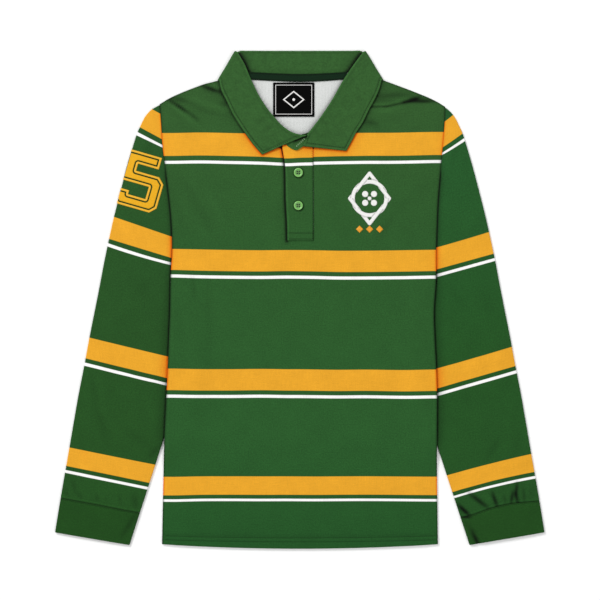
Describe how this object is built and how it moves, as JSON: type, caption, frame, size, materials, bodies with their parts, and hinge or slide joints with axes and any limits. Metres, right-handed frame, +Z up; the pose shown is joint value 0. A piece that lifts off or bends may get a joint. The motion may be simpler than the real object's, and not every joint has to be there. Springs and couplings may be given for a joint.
{
  "type": "long-sleeve polo shirt",
  "caption": "Green striped long-sleeve rugby polo shirt laid flat, with a folded collar, a buttoned placket and plain cuffs.",
  "frame": {"origin": "middle of the floor area that the shirt covers, on the floor", "axes": "+X towards the wearer's left sleeve, +Y towards the collar, +Z up from the floor, out of the shirt's front"},
  "size_m": [0.7336, 0.7473, 0.0084],
  "materials": {
    "green_jersey": "brushed polyester jersey, green with printed orange and white bands",
    "green_rib": "doubled green jersey at the cuffs",
    "green_twill": "doubled green twill at the collar",
    "tape": "bottle-green twill tape",
    "label": "black woven label",
    "button": "bright green resin"
  },
  "bodies": {
    "root": {"back_panel": "green_jersey", "front_panel": "green_jersey", "sleeve_left": "green_jersey", "sleeve_right": "green_jersey", "cuff_left": "green_rib", "cuff_right": "green_rib", "collar_leaf": "green_twill", "collar_stand": "green_twill", "placket_upper": "green_jersey", "placket_under": "green_jersey", "neck_tape": "tape", "neck_label": "label", "button_upper": "button", "button_lower": "button"}
  },
  "joints": []
}
